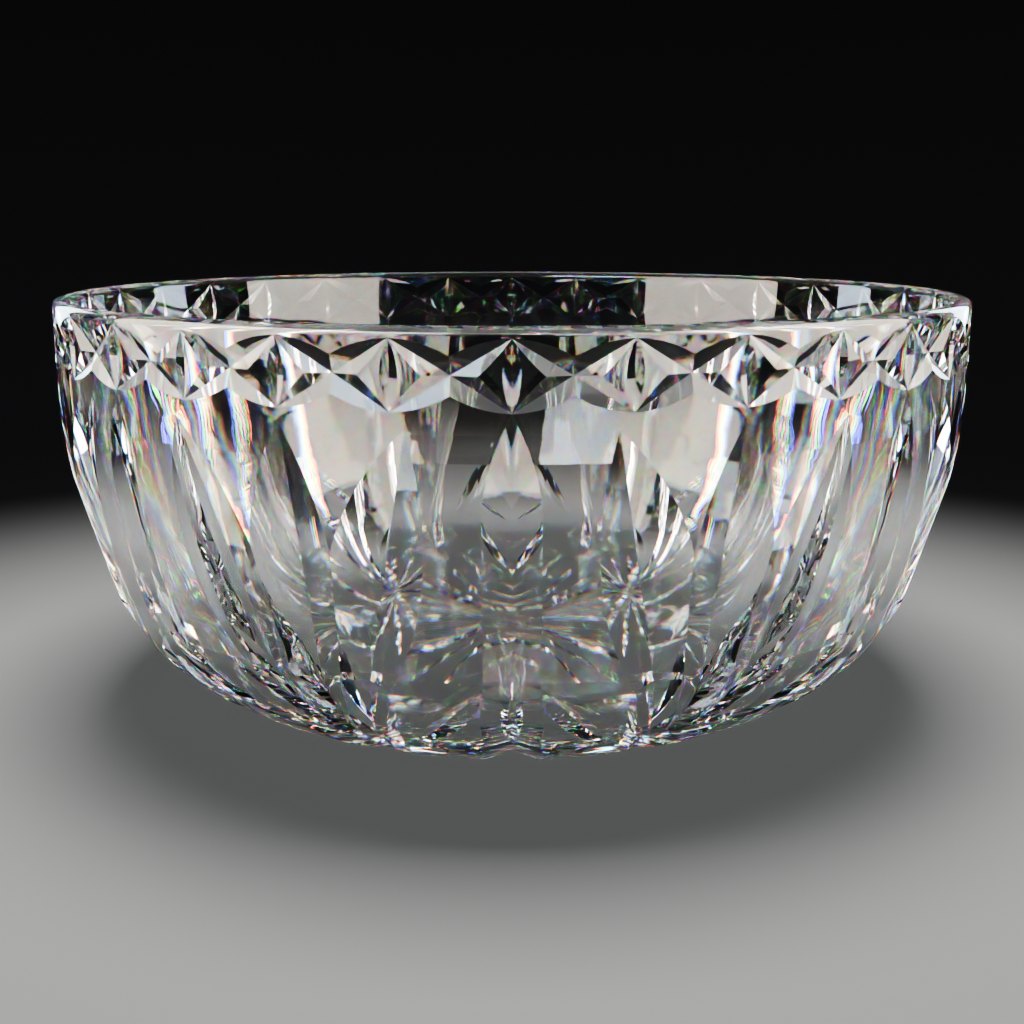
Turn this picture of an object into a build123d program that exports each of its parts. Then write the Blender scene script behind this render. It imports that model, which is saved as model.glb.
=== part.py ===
from build123d import *
from math import cos, radians, sin, sqrt, tan
import os

# Cut crystal punch bowl, in millimetres. One thick piece of clear glass: a turned blank whose outside
# and underside are cut with V-edged wheels and then polished. +Z up, origin at the middle of the foot.

# the turned blank
RIM_RADIUS = 152.5
HEIGHT = 138.0
LIP_WALL = 5.4
LIP_OUTER_ROUND = 2.4
LIP_INNER_ROUND = 2.4
SHOULDER_HEIGHT = 111.9      # the outside is upright from here to the lip
WALL_CURVE = 183.4
WALL_TURN = 22.3             # degrees
FOOT_CURVE = 62.9
FOOT_TURN = 35.7             # degrees
FOOT_RADIUS = 84.5           # outer edge of the flat ring that the bowl stands on

# the inside, from the lip down to the floor
INNER_SHOULDER = (144.0, 104.0)
INNER_WALL_CURVE = 172.0
INNER_WALL_TURN = 21.2       # degrees
INNER_HEEL_CURVE = 50.0
INNER_HEEL_TURN = 36.0       # degrees
FLOOR_HEIGHT = 14.9          # top of the flat inside floor
FLOOR_RADIUS = 78.0

# the cut pattern repeats every 45 degrees and mirrors halfway
REPEATS = 8
HALF_REPEAT = 180.0 / REPEATS
DIAMONDS = 32
PITCH = 360.0 / DIAMONDS
V_EDGE = 69.0                # half the angle of the broad V wheel, in degrees

# diamond band under the lip
BAND_TOP = 135.2
BAND_BOTTOM = 117.2
CROSS_CUT_DEPTH = 1.6
CROSS_CUT_REACH = 6.0
UPRIGHT_CUT_DEPTH = 0.9
UPRIGHT_CUT_REACH = 5.0

# spear: a narrow flute that turns two knees on its way down
SPEAR_DEPTH = 3.1
SPEAR_LEAD = 7.0             # degrees round the wall's curve where it is fully deep
SPEAR_KNEE = 22.4            # and where it turns its first knee
SPEAR_HEEL = 27.0            # its heading below the first knee
SPEAR_SECOND_KNEE = 45.0     # degrees round the foot's curve
SPEAR_TOE = 50.0             # its heading below the second knee
SPEAR_END = (76.4, 0.0)      # where its point leaves the foot
PIN_START = 22.0             # degrees round the foot's curve
PIN_END = 52.0
PIN_DEPTH = 0.9
PIN_EDGE = 52.0              # half the angle of the narrow V wheel
PIN_REACH = 4.0

# leaves: a broad flute midway between spears and two that lean
LEAF_TIP_HEIGHT = 113.1
LEAF_TIP_CLEAR = 0.2         # its point starts just inside the wall
LEAF_FOOT_DEPTH = 2.8
LEAF_KNEE = 24.0             # degrees round the foot's curve
LEAF_RUN_OUT = 64.0          # degrees round it where the leaf runs straight out
SIDE_LEAF_ANGLE = 13.0       # where the leaning leaf is square to the wall, from the spear
SIDE_LEAF_CROSSING = 76.0    # height at which it passes that angle
SIDE_LEAF_LEAN = 12.7        # degrees

# short cuts that spread from the spear's first knee to the foot: angle from the spear, and height
HEEL_CUT_TOP = (3.2, 42.0)
HEEL_CUT_END = (12.6, 18.5)
HEEL_CUT_DEPTH = 1.5
HEEL_CUT_REACH = 8.0

# star under the foot: a broad ray at every spear, fine rays between
BROAD_RAY_RADIUS = 73.0
BROAD_RAY_DEPTH = 1.7
FINE_RAY_RADIUS = 68.0
FINE_RAY_DEPTH = 0.75
FINE_RAY_EDGE = 60.0
RAY_LEVEL = 0.75             # share of its length that a ray runs level
RAY_REACH = 5.0

CUTTER_REACH = 16.0          # how far the flute cutters stand out of the glass
RUN_OUT = 40.0


def heading(turn):
    """The way down and inwards, that many degrees from straight down."""
    return Vector(-sin(radians(turn)), -cos(radians(turn)))


def on_wall(angle, radius, height):
    """A point at a pattern angle, measured from the middle of a spear flute."""
    return Vector(radius * cos(radians(angle)), radius * sin(radians(angle)), height)


WALL_CENTRE = Vector(RIM_RADIUS - WALL_CURVE, SHOULDER_HEIGHT)
FOOT_CENTRE = WALL_CENTRE + heading(WALL_TURN - 90) * (WALL_CURVE - FOOT_CURVE)


def outer_radius(height):
    """The uncut outside radius at a height on the foot's curve."""
    return FOOT_CENTRE.X + sqrt(FOOT_CURVE**2 - (FOOT_CENTRE.Y - height) ** 2)


def half_repeat_blank():
    """The turned glass before cutting, over one half repeat of the pattern."""
    wall = JernArc((RIM_RADIUS, SHOULDER_HEIGHT), heading(0), WALL_CURVE, -WALL_TURN)
    turn = JernArc(wall @ 1, wall % 1, FOOT_CURVE, -FOOT_TURN)
    under = TangentArc(turn @ 1, (FOOT_RADIUS, 0), tangent=turn % 1)
    lip = Line((RIM_RADIUS - LIP_WALL, HEIGHT), INNER_SHOULDER)
    inner_wall = JernArc(lip @ 1, lip % 1, INNER_WALL_CURVE, -INNER_WALL_TURN)
    inner_turn = JernArc(inner_wall @ 1, inner_wall % 1, INNER_HEEL_CURVE, -INNER_HEEL_TURN)
    dish = TangentArc((FLOOR_RADIUS, FLOOR_HEIGHT), inner_turn @ 1, tangent=(1, 0))
    outline = [
        Line((0, 0), (FOOT_RADIUS, 0)),
        under,
        turn,
        wall,
        Line(wall @ 0, (RIM_RADIUS, HEIGHT)),
        Line((RIM_RADIUS, HEIGHT), lip @ 0),
        lip,
        inner_wall,
        inner_turn,
        dish,
        Line((FLOOR_RADIUS, FLOOR_HEIGHT), (0, FLOOR_HEIGHT)),
        Line((0, FLOOR_HEIGHT), (0, 0)),
    ]
    face = make_face(outline)
    for radius, rounding in ((RIM_RADIUS, LIP_OUTER_ROUND), (RIM_RADIUS - LIP_WALL, LIP_INNER_ROUND)):
        corner = face.vertices().sort_by_distance(Vector(radius, HEIGHT))[0]
        face = fillet(corner, rounding)
    return revolve(Plane.XZ * face, Axis.Z, revolution_arc=HALF_REPEAT)


def v_cutter(plane, lines, edge=V_EDGE, reach=CUTTER_REACH):
    """The glass that a V-edged wheel takes as its point runs along lines drawn in plane, starting
    with its open side towards the plane's local X."""
    path = Wire([line.edge() for line in lines]).moved(plane.location)
    across = plane.z_dir
    out = across.cross(path % 0)
    if out.dot(plane.x_dir) < 0:
        out = out * -1
    section = Plane(origin=path @ 0, x_dir=across, z_dir=across.cross(out))
    half = reach * tan(radians(edge))
    vee = make_face(Polyline((0, 0), (half, reach), (-half, reach), close=True))
    return sweep(section * vee, path=path, transition=Transition.RIGHT)


def wheel_touch(start, end, outward, depth, edge, reach):
    """One touch of a wheel between two points on the glass: a leaf that is deepest in its middle."""
    along = (end - start).normalized()
    out = (outward - along * outward.dot(along)).normalized()
    plane = Plane(origin=(start + end) * 0.5, x_dir=out, z_dir=out.cross(along))
    half = (end - start).length / 2
    return v_cutter(plane, [ThreePointArc((0, -half), (-depth, 0), (0, half))], edge, reach)


def upright_plane(angle, lean=0.0, height=0.0):
    """A plane through the bowl's axis whose X points out of the wall and whose Y points up, leaning
    so that it moves to larger angles on its way down."""
    side = on_wall(angle + 90, 1, 0)
    normal = side * -cos(radians(lean)) + Vector(0, 0, -sin(radians(lean)))
    return Plane(origin=(0, 0, height), x_dir=on_wall(angle, 1, 0), z_dir=normal)


def diamond_cuts():
    """Crossing cuts from point to point of the band, and an upright cut down each diamond."""
    cuts = []
    sag = RIM_RADIUS * (1 - cos(radians(PITCH / 2)))
    for step in (0, 1):
        for top, bottom in ((step, step + 1), (step + 1, step)):
            start = on_wall(top * PITCH, RIM_RADIUS, BAND_TOP)
            end = on_wall(bottom * PITCH, RIM_RADIUS, BAND_BOTTOM)
            out = on_wall((step + 0.5) * PITCH, 1, 0)
            cuts.append(wheel_touch(start, end, out, CROSS_CUT_DEPTH - sag, V_EDGE, CROSS_CUT_REACH))
    for step in (0, 1, 2):
        out = on_wall(step * PITCH, 1, 0)
        start = on_wall(step * PITCH, RIM_RADIUS, BAND_TOP)
        end = on_wall(step * PITCH, RIM_RADIUS, BAND_BOTTOM)
        cuts.append(wheel_touch(start, end, out, UPRIGHT_CUT_DEPTH, V_EDGE, UPRIGHT_CUT_REACH))
    return cuts


def on_foot(turn, depth):
    """A profile point that far inside the foot's curve, that many degrees round it."""
    return FOOT_CENTRE + heading(turn - 90) * (FOOT_CURVE - depth)


def spear_cut():
    """The tall narrow flute that drops from a diamond's point, turns its knees and leaves the foot."""
    reach = WALL_CURVE - SPEAR_DEPTH
    begin = WALL_CENTRE + heading(SPEAR_LEAD - 90) * reach
    body = JernArc(begin, heading(SPEAR_LEAD), reach, SPEAR_LEAD - SPEAR_KNEE)
    lead = TangentArc(body @ 0, (RIM_RADIUS, BAND_BOTTOM), tangent=(body % 0) * -1)
    heel = TangentArc(body @ 1, on_foot(SPEAR_SECOND_KNEE, SPEAR_DEPTH), tangent=heading(SPEAR_HEEL))
    toe = TangentArc(heel @ 1, SPEAR_END, tangent=heading(SPEAR_TOE))
    out = Line(toe @ 1, (toe @ 1) + (toe % 1) * RUN_OUT)
    return v_cutter(upright_plane(0), [Edge.reversed(lead.edge()), body, heel, toe, out])


def pin_cut():
    """A narrow touch along the spear's point, from its first knee to past its second."""
    start, end = on_foot(PIN_START, SPEAR_DEPTH), on_foot(PIN_END, SPEAR_DEPTH)
    middle = on_foot((PIN_START + PIN_END) / 2, SPEAR_DEPTH + PIN_DEPTH)
    return v_cutter(upright_plane(0), [ThreePointArc(start, middle, end)], PIN_EDGE, PIN_REACH)


def leaf_cut(angle, lean=0.0, crossing=0.0):
    """A broad flute whose point runs straight in from its tip, then follows the foot's curve."""
    plane = upright_plane(angle, lean, crossing)
    climb = 1 / cos(radians(lean))
    reach = FOOT_CURVE - LEAF_FOOT_DEPTH
    knee = on_foot(LEAF_KNEE, LEAF_FOOT_DEPTH)
    start = Vector(RIM_RADIUS - LEAF_TIP_CLEAR, (LEAF_TIP_HEIGHT - crossing) * climb)
    bend = (knee.X, (knee.Y - crossing) * climb)
    turn = JernArc(bend, heading(LEAF_KNEE), reach, LEAF_KNEE - LEAF_RUN_OUT)
    out = Line(turn @ 1, (turn @ 1) + (turn % 1) * RUN_OUT)
    return v_cutter(plane, [Line(start, turn @ 0), turn, out])


def heel_cut():
    """A short cut that follows the foot's curve from beside the spear's knee towards the next leaf."""
    ends = (HEEL_CUT_TOP, HEEL_CUT_END)
    start, end = (on_wall(angle, outer_radius(height), height) for angle, height in ends)
    middle = (start + end) * 0.5
    angle = (HEEL_CUT_TOP[0] + HEEL_CUT_END[0]) / 2
    spine = on_wall(angle, FOOT_CENTRE.X, FOOT_CENTRE.Y)
    out = (middle - spine).normalized()
    bulge = FOOT_CURVE - (middle - spine).length
    return wheel_touch(start, end, out, HEEL_CUT_DEPTH - bulge, V_EDGE, HEEL_CUT_REACH)


def star_ray(angle, radius, depth, edge):
    """One ray of the star: a level V from the middle of the foot that rises out at its point."""
    plane = Plane(origin=(0, 0, 0), x_dir=(0, 0, -1), z_dir=on_wall(angle + 90, 1, 0))
    sign = 1 if plane.y_dir.dot(on_wall(angle, 1, 0)) > 0 else -1
    level = Line((-depth, -sign), (-depth, sign * RAY_LEVEL * radius))
    rise = TangentArc(level @ 1, (0, sign * radius), tangent=level % 1)
    return v_cutter(plane, [level, rise], edge, RAY_REACH)


def cuts():
    tools = diamond_cuts()
    tools.append(spear_cut())
    tools.append(pin_cut())
    tools.append(leaf_cut(HALF_REPEAT))
    tools.append(leaf_cut(SIDE_LEAF_ANGLE, SIDE_LEAF_LEAN, SIDE_LEAF_CROSSING))
    tools.append(heel_cut())
    tools.append(star_ray(0, BROAD_RAY_RADIUS, BROAD_RAY_DEPTH, V_EDGE))
    tools += [star_ray(step * PITCH, FINE_RAY_RADIUS, FINE_RAY_DEPTH, FINE_RAY_EDGE) for step in (1, 2)]
    return tools


def bowl():
    sector = half_repeat_blank() - cuts()
    mirrored = mirror(sector, about=Plane(origin=(0, 0, 0), z_dir=on_wall(90, 1, 0)))
    repeat = sector + mirrored
    return Part() + [Rot(0, 0, turn * 2 * HALF_REPEAT) * repeat for turn in range(REPEATS)]


os.makedirs("parts", exist_ok=True)
piece = bowl()
piece.label = "bowl"
export_step(piece, "parts/bowl.step")
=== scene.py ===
import math

import bpy
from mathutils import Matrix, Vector


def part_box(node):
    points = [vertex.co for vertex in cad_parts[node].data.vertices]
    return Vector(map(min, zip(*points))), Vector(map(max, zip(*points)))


# Cut crystal punch bowl: one clear glass node, lit by softboxes on a pale floor. Metres, Z up.

# camera, from the rim's radius
CAMERA_DISTANCE = 3.019
CAMERA_ABOVE_RIM = 0.1698
CAMERA_DOWN = math.radians(12.92)
CAMERA_VIEW = math.radians(43.03)
SENSOR_WIDTH = 36.0
CLIP_START = 0.01

# Lead crystal bends blue more than red, so where a ray first meets it three glasses share the ray.
# Their colours average to clear.
CLEAR = ("clear", (1.0, 1.0, 1.0, 1.0), 1.55)
RED = ("red", (2.5, 0.25, 0.25, 1.0), 1.541)
GREEN = ("green", (0.25, 2.5, 0.25, 1.0), 1.550)
BLUE = ("blue", (0.25, 0.25, 2.5, 1.0), 1.561)

# the slow waviness of glass that was cut and polished by hand
WAVE_SCALE = 45.0
WAVE_DETAIL = 1.5
WAVE_DEPTH = 0.00012

# how much of a lamp's light each surface lets through to the floor
SHADOW_TINT = (0.49, 0.50, 0.50, 1.0)

# the floor, pale round the bowl and dark behind it: a painted pool of light whose colour falls off
# into painted shade behind the bowl and up the wall
FLOOR_GAP = 0.0003  # so that the glass foot and the floor don't share a plane
FLOOR_FLAT = 0.55
SWEEP = 0.45
WALL_TOP = 1.8
PALE = (0.40, 0.40, 0.395, 1)
PAINTED_SHADE = (0.012, 0.012, 0.013, 1)
LIGHT_POOL_MIDDLE = (0.0, -0.10, 0.0)
PAINTED_FALLOFF_START = 0.18
PAINTED_FALLOFF_END = 0.50
FLOOR_ROUGHNESS = 0.9
SWEEP_STEPS = 24
AROUND = 96

# name, turn in degrees from straight behind to the right, distance, height, size, watts, colour
WARM = (1.0, 0.91, 0.76)
COOL = (0.66, 0.84, 1.0)
WHITE = (1.0, 1.0, 1.0)
GLASS_LAMPS = (
    ("side_left", -109, 0.62, 0.32, (0.60, 0.56), 11.0, WARM),
    ("side_right", 109, 0.62, 0.32, (0.60, 0.56), 11.0, WARM),
    ("back_left", -52, 0.75, 0.24, (0.20, 0.40), 3.0, COOL),
    ("back_right", 52, 0.75, 0.24, (0.20, 0.40), 3.0, COOL),
    ("front_left", -152, 0.78, 0.60, (0.42, 0.32), 6.5, COOL),
)
FLOOR_LAMP = ("overhead", 0, 0.05, 1.25, (0.6, 0.6), 19.0, WHITE)
AMBIENT = (0.02, 0.02, 0.021, 1)


def add_camera(rim_radius, rim_height):
    data = bpy.data.cameras.new("camera")
    data.sensor_width = SENSOR_WIDTH
    data.angle = CAMERA_VIEW
    data.clip_start = CLIP_START
    camera = bpy.data.objects.new("camera", data)
    bpy.context.scene.collection.objects.link(camera)
    camera.location = (0.0, -CAMERA_DISTANCE * rim_radius, rim_height + CAMERA_ABOVE_RIM * rim_radius)
    camera.rotation_euler = (math.pi / 2 - CAMERA_DOWN, 0.0, 0.0)
    bpy.context.scene.camera = camera


def new_nodes(name):
    mat = bpy.data.materials.new(name)
    mat.use_nodes = True
    return mat, mat.node_tree


def add_waviness(nt):
    where = nt.nodes.new("ShaderNodeNewGeometry")
    noise = nt.nodes.new("ShaderNodeTexNoise")
    noise.inputs["Scale"].default_value = WAVE_SCALE
    noise.inputs["Detail"].default_value = WAVE_DETAIL
    bump = nt.nodes.new("ShaderNodeBump")
    bump.inputs["Strength"].default_value = 1.0
    bump.inputs["Distance"].default_value = WAVE_DEPTH
    nt.links.new(where.outputs["Position"], noise.inputs["Vector"])
    nt.links.new(noise.outputs[0], bump.inputs["Height"])
    return bump.outputs[0]


def add_glass(nt, normal, name, colour, ior):
    glass = nt.nodes.new("ShaderNodeBsdfGlass")
    glass.label = name
    glass.inputs["Color"].default_value = colour
    glass.inputs["Roughness"].default_value = 0.0
    glass.inputs["IOR"].default_value = ior
    nt.links.new(normal, glass.inputs["Normal"])
    return glass.outputs[0]


def add_mix(nt, factor, first, second):
    mix = nt.nodes.new("ShaderNodeMixShader")
    if isinstance(factor, float):
        mix.inputs[0].default_value = factor
    else:
        nt.links.new(factor, mix.inputs[0])
    nt.links.new(first, mix.inputs[1])
    nt.links.new(second, mix.inputs[2])
    return mix.outputs[0]


def crystal_material():
    mat, nt = new_nodes("crystal")
    nt.nodes.clear()
    out = nt.nodes.new("ShaderNodeOutputMaterial")
    path = nt.nodes.new("ShaderNodeLightPath")
    normal = add_waviness(nt)
    clear, red, green, blue = [add_glass(nt, normal, *glass) for glass in (CLEAR, RED, GREEN, BLUE)]
    split = add_mix(nt, 1 / 3, add_mix(nt, 0.5, red, green), blue)
    glass = add_mix(nt, path.outputs["Is Camera Ray"], clear, split)
    through = nt.nodes.new("ShaderNodeBsdfTransparent")
    through.inputs["Color"].default_value = SHADOW_TINT
    total = add_mix(nt, path.outputs["Is Shadow Ray"], glass, through.outputs[0])
    nt.links.new(total, out.inputs["Surface"])
    return mat


def stage_material():
    mat, nt = new_nodes("stage")
    bsdf = nt.nodes["Principled BSDF"]
    bsdf.inputs["Roughness"].default_value = FLOOR_ROUGHNESS
    bsdf.inputs["Specular IOR Level"].default_value = 0.0
    where = nt.nodes.new("ShaderNodeNewGeometry")
    away = nt.nodes.new("ShaderNodeVectorMath")
    away.operation = "DISTANCE"
    away.inputs[1].default_value = LIGHT_POOL_MIDDLE
    # painted pool of light: the floor's colour darkens with distance from a point in front of the
    # bowl, standing in for a lamp's falloff into painted shade
    ramp = nt.nodes.new("ShaderNodeValToRGB")
    ramp.color_ramp.interpolation = "EASE"
    pale, dark = ramp.color_ramp.elements
    pale.color = PALE
    pale.position = PAINTED_FALLOFF_START
    dark.color = PAINTED_SHADE
    dark.position = PAINTED_FALLOFF_END
    nt.links.new(where.outputs["Position"], away.inputs[0])
    nt.links.new(away.outputs["Value"], ramp.inputs[0])
    nt.links.new(ramp.outputs[0], bsdf.inputs["Base Color"])
    return mat


def stage_profile():
    """Radius and height of the flat floor's edge, the sweep and the top of the wall."""
    profile = [(FLOOR_FLAT, 0.0)]
    for step in range(1, SWEEP_STEPS + 1):
        a = math.pi / 2 * step / SWEEP_STEPS
        profile.append((FLOOR_FLAT + SWEEP * math.sin(a), SWEEP - SWEEP * math.cos(a)))
    profile.append((FLOOR_FLAT + SWEEP, WALL_TOP))
    return profile


def add_stage():
    """A round floor that curves up into a wall all the way round."""
    rings = stage_profile()
    verts = []
    for radius, height in rings:
        for step in range(AROUND):
            a = 2 * math.pi * step / AROUND
            verts.append((radius * math.cos(a), radius * math.sin(a), height))
    faces = [tuple(range(AROUND))]
    for ring in range(len(rings) - 1):
        for step in range(AROUND):
            here, after = ring * AROUND + step, ring * AROUND + (step + 1) % AROUND
            faces.append((here, here + AROUND, after + AROUND, after))
    mesh = bpy.data.meshes.new("floor")
    mesh.from_pydata(verts, [], faces)
    mesh.shade_smooth()
    floor = bpy.data.objects.new("floor", mesh)
    floor.data.materials.append(stage_material())
    floor.location.z = -FLOOR_GAP
    bpy.context.scene.collection.objects.link(floor)


def add_softbox(name, turn, distance, height, size, power, colour, aim, on_floor):
    """A softbox that faces the bowl's middle. It lights either the floor or the glass."""
    data = bpy.data.lights.new(name, "AREA")
    data.shape = "RECTANGLE"
    data.size, data.size_y = size
    data.energy = power
    data.color = colour
    lamp = bpy.data.objects.new(name, data)
    a = math.radians(turn)
    place = Vector((distance * math.sin(a), distance * math.cos(a), height))
    lamp.location = place
    lamp.rotation_euler = (aim - place).to_track_quat("-Z", "Y").to_euler()
    lamp.visible_camera = False
    lamp.visible_diffuse = on_floor
    lamp.visible_glossy = not on_floor
    lamp.visible_transmission = not on_floor
    bpy.context.scene.collection.objects.link(lamp)


def light_scene(aim):
    world = bpy.data.worlds.new("world")
    bpy.context.scene.world = world
    world.use_nodes = True
    world.node_tree.nodes["Background"].inputs[0].default_value = AMBIENT
    for lamp in GLASS_LAMPS:
        add_softbox(*lamp, aim, on_floor=False)
    add_softbox(*FLOOR_LAMP, aim, on_floor=True)


def set_up_cycles():
    """Glass needs many bounces; caustics would only add noise."""
    scene = bpy.context.scene
    scene.cycles.max_bounces = 32
    scene.cycles.transmission_bounces = 32
    scene.cycles.glossy_bounces = 12
    scene.cycles.transparent_max_bounces = 32
    scene.cycles.caustics_refractive = False
    scene.cycles.caustics_reflective = False
    scene.view_settings.view_transform = "AgX"
    scene.view_settings.look = "AgX - Medium High Contrast"


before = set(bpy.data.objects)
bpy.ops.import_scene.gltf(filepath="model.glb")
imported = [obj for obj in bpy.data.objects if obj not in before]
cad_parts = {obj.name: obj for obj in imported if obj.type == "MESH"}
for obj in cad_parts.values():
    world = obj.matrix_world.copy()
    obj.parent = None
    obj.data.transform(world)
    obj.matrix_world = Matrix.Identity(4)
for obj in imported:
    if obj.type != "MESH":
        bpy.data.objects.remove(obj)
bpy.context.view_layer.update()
low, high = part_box("bowl")

add_camera((high.x - low.x) / 2, high.z)
add_stage()
light_scene(Vector((0.0, 0.0, (high.z - low.z) / 2)))
set_up_cycles()

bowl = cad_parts["bowl"]
bowl.data.materials.clear()
bowl.data.materials.append(crystal_material())
